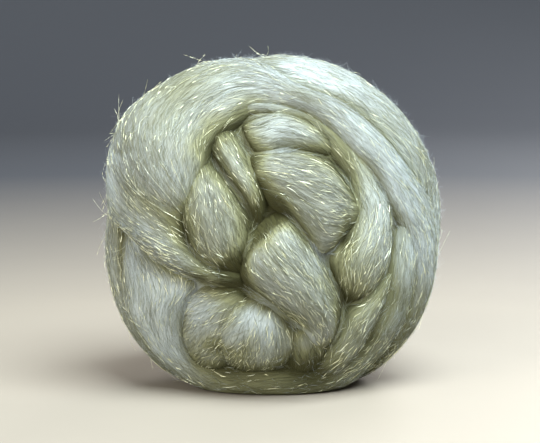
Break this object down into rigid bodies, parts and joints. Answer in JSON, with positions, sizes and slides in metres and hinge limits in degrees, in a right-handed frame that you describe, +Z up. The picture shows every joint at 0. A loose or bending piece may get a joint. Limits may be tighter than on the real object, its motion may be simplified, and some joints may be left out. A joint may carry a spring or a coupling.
{
  "type": "hand-wound nest of wool roving",
  "caption": "Loose hand-wound nest of combed wool roving, its thick soft strands coiled round the rim and tucked into the middle, resting on a small flat.",
  "frame": {"origin": "centre of the bounding box in X and Y, on the surface that the nest rests on", "axes": "+Z up; -Y towards the coiled face with the folded strands; X across the face"},
  "size_m": [0.118, 0.1038, 0.1166],
  "materials": {
    "wool": "cream-white combed wool with fine fibres along each strand and pale gold glints"
  },
  "bodies": {
    "root": {"roving": "wool"}
  },
  "joints": []
}
